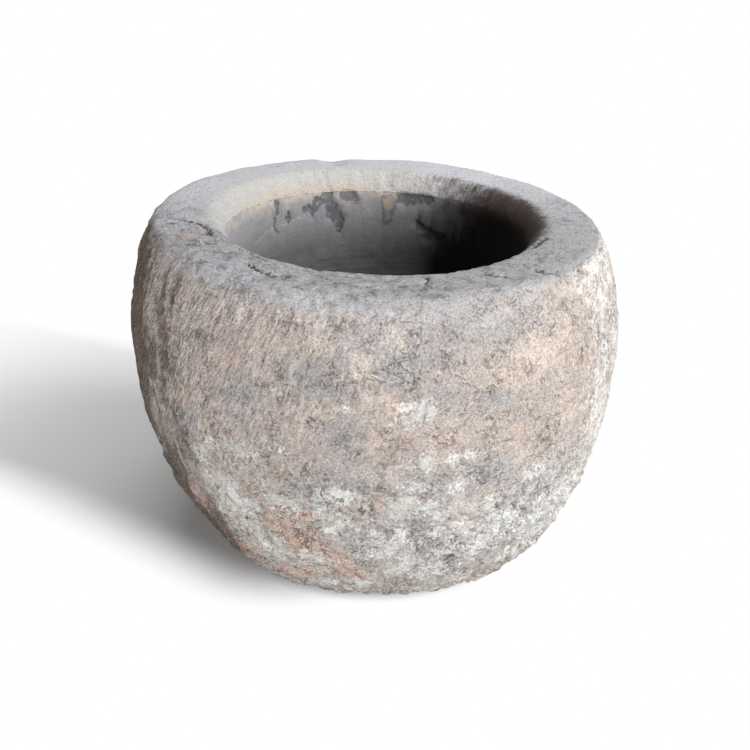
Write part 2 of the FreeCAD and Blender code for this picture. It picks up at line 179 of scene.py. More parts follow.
class Wire:
    """An output of a node, on which shader maths is written with Python's operators."""

    def __init__(self, paint, socket):
        self.paint = paint
        self.socket = socket

    def maths(self, operation, first, second):
        """A Math node on two values or links."""
        return self.paint.node("ShaderNodeMath", {"operation": operation}, {0: first, 1: second})

    def __add__(self, other):
        return self.maths("ADD", self, other)

    def __radd__(self, other):
        return self.maths("ADD", other, self)

    def __sub__(self, other):
        return self.maths("SUBTRACT", self, other)

    def __rsub__(self, other):
        return self.maths("SUBTRACT", other, self)

    def __mul__(self, other):
        return self.maths("MULTIPLY", self, other)

    def __rmul__(self, other):
        return self.maths("MULTIPLY", other, self)

    def most(self, other):
        """The larger of two values."""
        return self.maths("MAXIMUM", self, other)

    def size(self):
        """The value without its sign."""
        return self.maths("ABSOLUTE", self, 0.0)

    def off(self):
        """How far a grain is from its middle."""
        return self - GRAIN_MIDDLE


class Paint:
    """The nodes of a material or of the world."""

    def __init__(self, owner, output):
        self.owner = owner
        owner.use_nodes = True
        self.tree = owner.node_tree
        self.tree.nodes.clear()
        self.output = self.tree.nodes.new(output)

    def node(self, kind, settings=None, sockets=None, output=0):
        """Adds a node, sets it up and fills its sockets with values or links. Gives one output."""
        node = self.tree.nodes.new(kind)
        for setting, value in (settings or {}).items():
            setattr(node, setting, value)
        for key, value in (sockets or {}).items():
            socket = self.find(node.inputs, key)
            if isinstance(value, Wire):
                self.tree.links.new(value.socket, socket)
            elif socket.type == "RGBA":
                socket.default_value = (*value[:3], 1)
            else:
                socket.default_value = value
        return Wire(self, self.find(node.outputs, output))

    @staticmethod
    def find(sockets, key):
        """A socket by its number, its identifier or its name."""
        if isinstance(key, int):
            return sockets[key]
        for socket in sockets:
            if socket.identifier == key:
                return socket
        return sockets[key]

    def place(self):
        """Place on the piece, in metres."""
        return self.node("ShaderNodeTexCoord", output="Object")

    def attribute(self, name):
        """A value that was painted on the piece's vertices."""
        return self.node("ShaderNodeAttribute", {"attribute_name": name}, output="Fac")

    def flat(self, across, up):
        """A place on an unrolled surface, from two lengths in metres."""
        return self.node("ShaderNodeCombineXYZ", None, {"X": across, "Y": up})

    def turned(self, place, turn):
        """The place, turned, so that a second pattern doesn't follow the first."""
        return self.node("ShaderNodeMapping", None, {"Vector": place, "Rotation": turn})

    def grain(self, place, size, detail=2.0, roughness=0.5, warp=0.0):
        """Noise with grains of about that size in millimetres, spread to span nearly 0 to 1."""
        value = self.node("ShaderNodeTexNoise", None, {
            "Vector": place,
            "Scale": 1 / (size * MM),
            "Detail": detail,
            "Roughness": roughness,
            "Distortion": warp,
        })
        return value.off() * GRAIN_SPREAD + GRAIN_MIDDLE

    def step(self, value, low, high):
        """Smooth step from 0 at low to 1 at high."""
        return self.node("ShaderNodeMapRange", {"interpolation_type": "SMOOTHSTEP"},
                         {"Value": value, "From Min": low, "From Max": high})

    def line(self, value, level, width):
        """1 along the lines where a value is at a level, falling to 0 at a width to either side."""
        return self.step((value - level).size(), width, 0.0)

    def measure(self, operation, *places):
        """A number worked out from one place or two."""
        return self.node("ShaderNodeVectorMath", {"operation": operation}, dict(enumerate(places)), "Value")

    def mix(self, factor, first, second, blend="MIX"):
        """Colour between two colours."""
        return self.node("ShaderNodeMix", {"data_type": "RGBA", "blend_type": blend},
                         {"Factor_Float": factor, "A_Color": first, "B_Color": second}, "Result_Color")

    def stain(self, tint, colour, level, low, high, most):
        """A tint, covered by a colour as a level goes from low to high, at the most by a share."""
        return self.mix(self.step(level, low, high) * most, tint, colour)

    def shade(self, colour, light):
        """A colour, darkened or lightened by a value round 1."""
        grey = self.node("ShaderNodeCombineColor", None, {"Red": light, "Green": light, "Blue": light})
        return self.mix(1.0, colour, grey, "MULTIPLY")

    def seen(self):
        """1 for what the camera sees, also in a gloss or through glass, and 0 for light on its way."""
        rays = [self.node("ShaderNodeLightPath", None, None, ray)
                for ray in ("Is Camera Ray", "Is Glossy Ray", "Is Transmission Ray")]
        return rays[0].most(rays[1]).most(rays[2])

    def surface(self, colour, roughness, bump, height):
        """Finishes the material as plain rough stone."""
        normal = self.node("ShaderNodeBump", None, {"Distance": bump, "Height": height})
        return self.finish(self.node("ShaderNodeBsdfPrincipled", None, {
            "Base Color": colour, "Roughness": roughness, "Specular IOR Level": 0.1, "Normal": normal}))

    def finish(self, shader):
        """Sends a shader to the output."""
        self.tree.links.new(shader.socket, self.output.inputs["Surface"])
        return self.owner


def ease(low, high, value):
    """Smooth step over an array, from 0 at low to 1 at high."""
    share = np.clip((value - low) / (high - low), 0, 1)
    return share * share * (3 - 2 * share)


def near(value, middle, reach):
    """1 at the middle, falling smoothly to 0 at the reach on either side."""
    return 1 - ease(0, reach, np.abs(value - middle))


def turn_between(bearing, middle):
    """Degrees from a bearing to another, the short way round."""
    return (bearing - middle + 180) % 360 - 180


def round_about(bearing, middle, reach):
    """1 at a bearing, falling smoothly to 0 at the reach on either side, in degrees."""
    return near(turn_between(bearing, middle), 0, reach)


def arc(bearing, middle, radius):
    """Length along an arc from the middle to each bearing, in millimetres."""
    return np.radians(turn_between(bearing, middle)) * radius


def oval(across, up):
    """1 in an oval's middle, 0.5 at its edge and 0 at twice its size, from shares of its half sizes."""
    return np.clip(1 - np.hypot(across, up) / 2, 0, 1)


def lumps(points, size, octaves=2, seed=0.0, stretch=(1, 1, 1)):
    """Soft noise from about -1 to 1 at points in millimetres, with lumps of about that size."""
    seed_step = 13.7
    smoothness, gap = 1.0, 2.0
    scaled = points / (np.array(stretch) * size) + seed * seed_step
    return np.array([noise.fractal(point, smoothness, gap, octaves) for point in scaled.tolist()])


def worn(heights, crest=0.2):
    """Noise whose crests are worn flat, so that its hollows are left as pits."""
    return np.minimum(heights, crest)


class Stone:
    """The block's vertices, in millimetres, with where each lies on the stone.

    bearing and round are degrees from the front, to the right, about the origin and about the bowl's axis.
    along and turn are the same as lengths, and reach is the distance from the bowl's axis.
    inside, bowl, lip, rim and outside are shares, which run into each other.
    """

    def __init__(self, mesh):
        count = len(mesh.vertices)
        places = np.empty(count * 3)
        mesh.vertices.foreach_get("co", places)
        self.points = places.reshape(-1, 3) / MM
        normals = np.empty(count * 3)
        mesh.vertex_normals.foreach_get("vector", normals)
        self.normals = normals.reshape(-1, 3)
        x, y, z = self.points.T
        self.height = z
        self.bearing = np.degrees(np.arctan2(x, -y))
        self.along = np.radians(self.bearing) * WALL_RADIUS
        self.reach = np.hypot(x - BOWL_AXIS_X, y)
        self.round = np.degrees(np.arctan2(x - BOWL_AXIS_X, -y))
        self.turn = np.radians(self.round) * RIM_MIDDLE
        self.behind = np.abs(turn_between(self.round, RIM_FRONT))
        self.below_rim = RIM_HEIGHT - x * RIM_FALL - z
        self.past_lip = np.hypot(x - LIP_AXIS[0], y - LIP_AXIS[1]) - (LIP_RADIUS - x * RIM_FALL)
        inside = ease(4, -2, self.past_lip) * ease(BOWL_BOTTOM, BOWL_BOTTOM + 5, z)
        facing = self.normals[:, 2]
        deep = np.maximum(ease(*WALL_FACING, facing), ease(*LIP_DEPTH, self.below_rim))
        self.inside = inside
        self.bowl = inside * deep
        self.lip = inside * (1 - deep)
        top = ease(*TOP_FACING, facing) * (z > RIM_LOWEST)
        self.rim = (1 - inside) * top
        foot = ease(*FOOT_FACING, facing) * (z < FOOT_HEIGHT)
        self.outside = (1 - inside) * (1 - top) * (1 - foot)

    def about(self, bearing, height, half_width, half_height):
        """1 at a place on the outside, 0.5 at the edge of an oval round it, and 0 well outside that."""
        across = arc(self.bearing, bearing, WALL_RADIUS) / half_width
        up = (self.height - height) / half_height
        return oval(across, up) * self.outside


def select_only(piece):
    """Makes a piece the only selected and the active object."""
    bpy.ops.object.select_all(action="DESELECT")
    piece.select_set(True)
    bpy.context.view_layer.objects.active = piece


def finish_with(piece, kind, **settings):
    """Adds a modifier to a piece and applies it."""
    select_only(piece)
    modifier = piece.modifiers.new(kind.title(), kind)
    for setting, value in settings.items():
        setattr(modifier, setting, value)
    bpy.ops.object.modifier_apply(modifier=modifier.name)


def copy_of_solid(node, name):
    """A piece with a merged copy of a CAD node's mesh."""
    piece = bpy.data.objects.new(name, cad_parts[node].data.copy())
    bpy.context.scene.collection.objects.link(piece)
    select_only(piece)
    piece.data.materials.clear()
    bpy.ops.object.mode_set(mode="EDIT")
    bpy.ops.mesh.select_all(action="SELECT")
    bpy.ops.mesh.remove_doubles(threshold=0.01 * MM)
    bpy.ops.object.mode_set(mode="OBJECT")
    return piece


def keep_in_box(points):
    """Holds points in millimetres inside the solids' box, with a little room all round but at the foot."""
    low = np.array(CAD_BOX[0]) / MM + (BOX_ROOM, BOX_ROOM, 0)
    high = np.array(CAD_BOX[1]) / MM - BOX_ROOM
    return np.clip(points, low, high)


def move_vertices(mesh, points):
    """Puts a mesh's vertices at points in millimetres."""
    mesh.vertices.foreach_set("co", (points * MM).ravel())
    mesh.update()


def paint_vertices(mesh, name, values):
    """Keeps a value for each vertex, for the material to read."""
    attribute = mesh.attributes.new(name, "FLOAT", "POINT")
    attribute.data.foreach_set("value", values.astype(np.float32))


# Flaked hollows in the bowl: bearing round the bowl in degrees, then height, half width and half height.
HOLLOWS = (
    (-133, 312, 5, 4),
    (-134, 300, 4, 8),
    (-132, 284, 3, 10),
    (-139, 290, 3, 8),
    (-150, 292, 9, 6),
    (-153, 300, 7, 6),
    (-158, 302, 8, 7),
    (-160, 288, 6, 12),
    (-163, 274, 5, 8),
    (-167, 301, 9, 6),
    (-170, 296, 6, 5),
    (175, 307, 7, 4),
    (169, 299, 8, 8),
    (163, 299, 8, 6),
    (158, 300, 6, 4),
    (161, 272, 5, 5),
    (157, 266, 8, 6),
    (153, 261, 5, 7),
)

# How far the hollows' edges waver, in millimetres.
HOLLOW_WOBBLE = 5

# A hair crack across the bowl's wall, from one hollow to the next: bearing round the bowl and height.
BOWL_CRACK = ((-118, 274), (-126, 281), (-132, 284), (-140, 284), (-148, 287))

# A cream chip in the bowl's wall: bearing round the bowl, height, half width and half height.
CREAM_CHIP = (176, 286, 9, 14)

# Cracks and chips in the rim: places along each, as bearing round the bowl and distance from its axis,
# then half its width and its depth.
RIM_CRACKS = (
    (((-77, 199), (-78, 190), (-79, 182)), 1.3, 1.6),
    (((-80, 176), (-79, 168), (-76, 160)), 1.6, 2.2),
    (((-76, 160), (-71, 158), (-68, 161), (-65, 158)), 2.0, 2.6),
    (((-57, 196), (-60, 188), (-59, 180)), 1.3, 1.4),
    (((-38, 173), (-34, 177), (-28, 180), (-24, 177)), 1.7, 2.0),
    (((-47, 151), (-42, 154), (-36, 156)), 1.3, 1.6),
    (((-24, 152), (-18, 153)), 1.2, 1.5),
    (((13.0, 155), (14.5, 162), (12.5, 170), (13.5, 177)), 1.3, 2.6),
    (((32, 164), (34, 170), (36, 178)), 2.6, 1.4),
    (((46, 184), (47, 190), (49, 196)), 2.6, 5.0),
    (((64, 151), (70, 152), (75, 155)), 1.8, 3.0),
    (((-6, 176), (-1, 178)), 1.0, 1.0),
    (((24, 186), (29, 190)), 1.1, 1.2),
)

# What the distance from a crack is set to where there is none near.
NO_CRACK = 9.0

# The worn oval on the left of the rim: bearing round the bowl, distance from its axis, half length and
# half width.
TAN_OVAL = (-66, 183, 17, 9)


def distance_to_line(x, y, spots):
    """Distance from each place to a line through spots."""
    nearest = np.full(len(x), np.inf)
    for (ax, ay), (bx, by) in zip(spots, spots[1:]):
        run = (bx - ax) ** 2 + (by - ay) ** 2
        share = np.clip(((x - ax) * (bx - ax) + (y - ay) * (by - ay)) / run, 0, 1)
        nearest = np.minimum(nearest, np.hypot(x - ax - share * (bx - ax), y - ay - share * (by - ay)))
    return nearest


def hollow_field(stone, wobble):
    """1 in the middle of the bowl's flaked hollows, 0.5 at their ragged edge, 0 outside."""
    field = np.zeros(len(stone.points))
    aside, lift = wobble
    for turn, height, half_width, half_height in HOLLOWS:
        across = (arc(stone.round, turn, MOUTH_RADIUS) + HOLLOW_WOBBLE * aside) / half_width
        up = (stone.height - height + HOLLOW_WOBBLE * lift) / half_height
        field = np.maximum(field, oval(across, up))
    return field * ease(0.4, 0.9, stone.bowl + 0.7 * stone.lip)


def crack_field(stone, wobble):
    """Depth of the rim's cracks and chips, and distance from them as a share of their half width."""
    x, y = stone.points[:, 0] - BOWL_AXIS_X, stone.points[:, 1]
    depth = np.zeros(len(x))
    share = np.full(len(x), NO_CRACK)
    on_top = np.clip(stone.rim + stone.lip, 0, 1)
    for line, half_width, deepest in RIM_CRACKS:
        turns = [(math.radians(turn), reach) for turn, reach in line]
        spots = [(reach * math.sin(turn), -reach * math.cos(turn)) for turn, reach in turns]
        away = distance_to_line(x, y, spots) + wobble
        depth = np.maximum(depth, deepest * ease(half_width * 2, 0, away))
        share = np.minimum(share, away / half_width)
    return depth * on_top, np.where(on_top > 0.3, share, NO_CRACK)


def bowl_crack_field(stone):
    """Distance of each vertex on the bowl's wall from the hair crack, in millimetres."""
    spots = [(math.radians(turn) * MOUTH_RADIUS, height) for turn, height in BOWL_CRACK]
    away = distance_to_line(np.radians(stone.round) * MOUTH_RADIUS, stone.height, spots)
    return np.where(stone.bowl > 0.3, np.minimum(away, NO_CRACK), NO_CRACK)


def widen_foot(stone):
    """Brings the foot's front corners out, so that it stands on a broad flat edge."""
    widening = 4.5
    corner = near(np.abs(stone.bearing), 26, 22) * ease(18, 0, stone.height) * stone.outside
    away = stone.points[:, :2] / np.hypot(stone.points[:, 0], stone.points[:, 1])[:, None]
    stone.points[:, :2] += away * (widening * corner)[:, None]


def round_edges(piece):
    """Wears the rim's outer edge to a soft rounding in front, and the lip's edges a little all round."""
    weight_levels = 10
    stone = Stone(piece.data)
    front = round_about(stone.bearing, -18, 92)
    weight = front * ease(30, 14, np.abs(stone.below_rim)) * ease(165, 178, stone.reach)
    lip = ease(12, 6, stone.past_lip) * ease(-30, -20, stone.past_lip) * (stone.below_rim < 28)
    weight = np.maximum(weight, 0.5 * lip)
    group = piece.vertex_groups.new(name="worn_edges")
    levels = np.round(weight * weight_levels).astype(int)
    for level in range(1, weight_levels + 1):
        group.add(np.flatnonzero(levels == level).tolist(), level / weight_levels, "REPLACE")
    finish_with(piece, "SMOOTH", factor=0.5, iterations=90, vertex_group="worn_edges")
    piece.vertex_groups.clear()


def hew_outside(stone, settings, rough, move):
    """Adds the outside's lumps, pecks, furrows and flakes to the move, and gives the marks they leave."""
    points, outside = stone.points, stone.outside
    middle, small = rough["middle"], rough["small"]
    low = 1 - ease(90, 200, stone.height)
    # Slanting pecks high on the left and front, upright furrows on the left, rounded lumps low down.
    flat = 0 * stone.along
    slanting = np.column_stack((stone.along - 0.35 * stone.height, stone.height, flat))
    pecks = lumps(slanting, 4.5, seed=5, stretch=(1, 3.5, 1))
    pecked = ease(110, 200, stone.height) * round_about(stone.bearing, -40, 75)
    unrolled = np.column_stack((stone.along, stone.height, flat))
    wavering = unrolled + 4 * np.column_stack((middle, flat, flat))
    flutes = lumps(wavering, 9, seed=6, stretch=(1, 9, 1))
    left = ease(-38, -58, stone.bearing) * ease(-165, -88, stone.bearing)
    furrow = round_about(stone.bearing, -79, 18) * ease(80, 140, stone.height)
    cobbles = np.abs(lumps(points, 13, seed=17))
    move += outside * settings.waves / MM * (rough["broad"] - 0.15)
    move += outside * settings.lumps / MM * (0.55 + 0.5 * low) * (middle - 0.1)
    move += outside * settings.cobbles / MM * (0.15 + low) * (1 - left) * (cobbles - 0.2)
    move += outside * settings.pits / MM * (0.6 + 0.5 * low) * worn(small)
    move += outside * 0.5 * rough["fine"]
    move += outside * pecked * 1.5 * worn(pecks, 0.25)
    move += outside * (left * settings.furrows / MM * worn(flutes) - 1.2 * furrow)
    # Crevices between lumps, and flakes: thin plates with stepped edges, mostly low down.
    seams = np.abs(lumps(points, 16, seed=7))
    crevice = ease(0.07, 0.0, seams) * ease(-0.1, 0.3, lumps(points, 40, octaves=1, seed=12) + 0.4 * low)
    move -= outside * crevice * (0.6 + 1.4 * low)
    flakes = ease(-0.05, 0.05, lumps(points, 15, seed=13)) - 0.5
    move += outside * (0.25 + low) * 1.2 * flakes
    # Stepped layers low on the right.
    layers = lumps(unrolled, 5, seed=16, stretch=(9, 1, 1))
    layered = round_about(stone.bearing, 38, 34) * ease(105, 70, stone.height)
    move += outside * layered * 1.6 * worn(layers)

    # Relief, from which the material paints shade into the pits and crevices.
    relief = 0.45 * small + 0.3 * middle + 0.25 * flakes + 0.25 * pecked * pecks
    relief -= 0.6 * crevice * (0.5 + low)
    # Dark brown soil in the furrow, flutes and strata, with painted shade over the whole left side, which
    # faces away from the lamps.
    strata = ease(-30, -46, stone.bearing) * ease(130, 70, stone.height) * ease(-130, -70, stone.bearing)
    soil_and_shade = left * (0.26 + 0.28 * ease(290, 220, stone.height) + 0.16 * low - 0.42 * flutes)
    soil_and_shade += furrow * (0.8 - 0.45 * flutes) + strata * (0.3 - 0.4 * flutes)
    return {
        "relief": np.clip(0.5 + 0.5 * relief, 0, 1),
        "soil_and_shade": np.clip(soil_and_shade, 0, 1) * outside,
        "pecked": pecked * outside,
        "layered": layered * outside,
    }


def hew_rim(stone, settings, rough, move):
    """Adds the rim's wear to the move, rough in front and smooth behind, and gives where it is rough."""
    middle, small = rough["middle"], rough["small"]
    rim = stone.rim
    rough_front = round_about(stone.round, -45, 75) + 0.6 * round_about(stone.round, 20, 70)
    rough_front = np.clip(rough_front, 0, 1)
    strands = np.column_stack((stone.turn + 0.4 * stone.reach, stone.reach, 0 * stone.turn))
    wisps = lumps(strands, 4, seed=14, stretch=(3.5, 1, 1))
    move += rim * (1.3 * (rough["broad"] - 0.1) - settings.wear / MM * (1 - rough_front))
    move += rim * rough_front * (1.6 * worn(middle) + 0.8 * worn(small) + 0.25 * rough["fine"])
    move += rim * rough_front * 1.1 * worn(wisps)
    move += rim * (1 - rough_front) * 0.3 * small
    return {"rough_rim": rough_front}


def hew_bowl(stone, settings, rough, move):
    """Adds the lip's pecks and the bowl's hollows and hair crack to the move, and gives the last two."""
    points = stone.points
    flat = 0 * stone.turn
    streaks = lumps(np.column_stack((stone.turn, stone.reach, flat)), 3.5, seed=8, stretch=(1, 6, 1))
    scallops = lumps(np.column_stack((stone.turn, flat, flat)), 16, seed=9)
    move += stone.lip * (0.7 * worn(streaks, 0.3) + 1.6 * scallops)
    move += stone.bowl * 0.35 * rough["broad"]
    wobble = (lumps(points, 9, octaves=3, seed=10), lumps(points, 9, octaves=3, seed=15))
    hollow = hollow_field(stone, wobble)
    move -= settings.hollows / MM * ease(0.42, 0.6, hollow) * (1 + 0.4 * rough["small"])
    hair = bowl_crack_field(stone)
    move -= 0.8 * ease(2.4, 0, hair)
    return {"hollow": hollow, "hair": hair}


def crack_rim(stone, rough, move):
    """Adds the rim's cracks, chips and shallow notch behind to the move, and gives where the cracks are."""
    depth, share = crack_field(stone, rough["small"])
    move -= depth
    notch = round_about(stone.round, -166, 6) * ease(170, 178, stone.reach)
    move -= 2.6 * notch * ease(0.2, 0.6, stone.rim)
    return {"crack": share}


def hew(stone, settings):
    """How far each vertex moves from the plain solid to the hewn, worn stone, and the marks made."""
    rough = {
        "broad": lumps(stone.points, 55, seed=1),
        "middle": lumps(stone.points, 18, seed=2),
        "small": lumps(stone.points, 7, seed=3),
        "fine": lumps(stone.points, 3.2, octaves=1, seed=4),
    }
    move = np.zeros(len(stone.points))
    marks = hew_outside(stone, settings, rough, move)
    marks.update(hew_rim(stone, settings, rough, move))
    marks.update(hew_bowl(stone, settings, rough, move))
    marks.update(crack_rim(stone, rough, move))
    return move, marks


# Stains and skins of the outside: bearing in degrees, then height, half width and half height in mm.
GREY_PATCHES = (
    (18, 300, 60, 14), (5, 268, 22, 12), (-14, 258, 26, 16), (28, 292, 40, 12), (13, 240, 16, 8),
    (27, 234, 14, 8), (-8, 212, 14, 14), (-30, 236, 14, 18), (-52, 236, 12, 16), (-6, 160, 22, 10),
    (12, 150, 26, 16), (26, 160, 26, 12), (2, 104, 40, 26), (20, 76, 50, 22), (-14, 150, 14, 18),
    (-58, 160, 12, 40), (-45, 190, 12, 18), (38, 110, 40, 30), (-9, 186, 18, 14), (16, 292, 16, 10),
    (11, 274, 9, 7), (-7, 280, 8, 8), (2, 284, 46, 18),
)
CREAM_PATCHES = (
    (41, 268, 46, 26), (52, 240, 30, 26), (30, 250, 22, 12), (-2, 275, 14, 9), (-3, 262, 20, 7),
    (5, 288, 14, 9), (-12, 288, 18, 10), (46, 200, 24, 24), (60, 270, 30, 20), (-10, 232, 16, 9),
    (62, 160, 20, 40), (2, 240, 14, 8),
)
LIME_PATCHES = (
    (-39, 178, 8, 8), (-45, 160, 9, 9), (-39, 139, 16, 12), (-36, 131, 14, 14), (-33, 122, 16, 12),
    (-22, 134, 22, 9), (-32, 105, 10, 12), (-32, 89, 9, 12), (-27, 72, 16, 18), (-12, 133, 12, 9),
    (-10, 116, 12, 9), (-31, 182, 18, 8), (-21, 190, 7, 11), (-42, 107, 7, 9), (-8, 149, 16, 11),
    (9, 235, 18, 10), (6, 221, 12, 9), (11, 181, 16, 12), (17, 184, 7, 10), (22, 184, 10, 6),
    (27, 129, 9, 11), (8, 159, 12, 6), (6, 140, 13, 12), (10, 135, 24, 9), (15, 122, 8, 7),
    (1, 106, 12, 9), (18, 106, 26, 9), (2, 94, 26, 20), (22, 79, 32, 14), (32, 100, 26, 22),
    (39, 147, 10, 7), (50, 84, 44, 40), (19, 156, 12, 7), (-6, 233, 7, 5), (-17, 73, 14, 8),
    (14, 56, 36, 10), (-14, 31, 14, 8), (-4, 38, 14, 8), (66, 238, 14, 20), (61, 200, 12, 14),
    (70, 150, 20, 24), (75, 192, 16, 22),
)
RUST_PATCHES = (
    (-32, 144, 12, 16), (-22, 163, 10, 14), (-15, 178, 10, 18), (-24, 124, 14, 8), (-26, 105, 24, 11),
    (-17, 128, 18, 11), (-19, 90, 28, 26), (-52, 81, 22, 44), (-43, 51, 34, 22), (1, 150, 8, 16),
    (9, 146, 11, 8), (15, 172, 9, 7), (3, 234, 8, 12), (4, 206, 24, 14), (-12, 190, 20, 14),
    (16, 208, 24, 14), (34, 190, 26, 20), (-48, 210, 16, 26), (-34, 255, 22, 14), (-10, 76, 24, 14),
    (-28, 42, 12, 10), (-21, 47, 12, 8), (-9, 60, 24, 14), (-4, 52, 12, 8),
)


def patches(stone, places):
    """1 in the middle of the places on the outside, 0.5 at their edges, 0 outside."""
    field = np.zeros(len(stone.points))
    for place in places:
        field = np.maximum(field, stone.about(*place))
    return field


def outside_marks(stone):
    """Shares of the outside's skins and stains: rust and lime mostly low down, lime and painted light over
    the right.
    """
    rust_low = 0.62 + 0.38 * ease(165, 120, stone.height)
    lime_low = 0.76 + 0.24 * ease(200, 150, stone.height)
    # Pale lime over the right, partly a bloom and partly painted light on the side that faces the side
    # lamp.
    lime_and_light_right = 0.58 * ease(38, 64, stone.bearing) * ease(130, 90, stone.bearing)
    return {
        "grey": patches(stone, GREY_PATCHES),
        "cream": patches(stone, CREAM_PATCHES),
        "rust": patches(stone, RUST_PATCHES) * rust_low,
        "lime": np.maximum(patches(stone, LIME_PATCHES) * lime_low, lime_and_light_right),
    }


def rim_marks(stone):
    """Shares of the rim, which runs over its edge in front, its pale parts, its worn oval and the lip."""
    over_edge = ease(34, 0, stone.below_rim) * (stone.reach > 150)
    rolled = round_about(stone.bearing, -15, 88)
    pale_lip = ease(55, 95, np.abs(turn_between(stone.round, 5)))
    pale_lip = pale_lip * (1 - 0.8 * round_about(stone.round, 120, 62))
    turn, reach, half_length, half_width = TAN_OVAL
    across = arc(stone.round, turn, reach) / half_width
    outwards = (stone.reach - reach) / half_length
    return {
        "rim": np.maximum(np.clip(stone.rim + stone.lip, 0, 1), over_edge * (0.35 + 0.5 * rolled)),
        "pale": np.maximum(ease(60, 140, stone.behind), 0.35 * round_about(stone.round, -38, 45)),
        "oval": oval(across, outwards) * stone.rim,
        "lip": ease(24, -5, stone.past_lip) * (stone.below_rim < 30) * pale_lip,
    }


def bowl_marks(stone):
    """Shares of the bowl, its painted shade, which is deepest on the right and low down, its stains and its
    chip.
    """
    # Painted shade: darker on the bowl's right and deep down, where the lamps' light doesn't reach.
    off_right = np.cos(np.radians(turn_between(stone.round, SHADED_SIDE)))
    right = ease(0.42, 1.04, off_right * np.minimum(stone.reach / 95, 1))
    deep = ease(10, 84, stone.below_rim)
    painted_shade = right * ease(0, 26, stone.below_rim) + deep * (0.725 + 0.275 * right)
    # Brown on the lip's right: partly a stain, partly painted shade where the lip faces away from the
    # lamps.
    brown = round_about(stone.round, SHADED_BROWN_SIDE, 84)
    ochre = ease(70, 110, stone.behind) * (0.45 + 0.55 * round_about(stone.round, -150, 60))
    turn, height, half_width, half_height = CREAM_CHIP
    across = arc(stone.round, turn, MOUTH_RADIUS) / half_width
    up = (stone.height - height) / half_height
    return {
        "bowl": stone.bowl,
        "shade": np.clip(painted_shade, 0, 1) * stone.inside,
        "brown": brown * ease(19, -7, stone.past_lip) * (stone.below_rim < 40),
        "ochre": stone.inside * ease(4, 12, stone.below_rim) * ease(40, 20, stone.below_rim) * ochre,
        "chip": oval(across, up) * stone.bowl,
    }


def paint_stone(mesh, stone, hewn_marks):
    """Keeps on the vertices what the stone's material reads."""
    values = {
        "along": stone.along * MM,
        "up": stone.height * MM,
        "turn": stone.turn * MM,
        "out": stone.reach * MM,
    }
    for marks in (outside_marks(stone), rim_marks(stone), bowl_marks(stone), hewn_marks):
        values.update(marks)
    for name, field in values.items():
        paint_vertices(mesh, name, field)


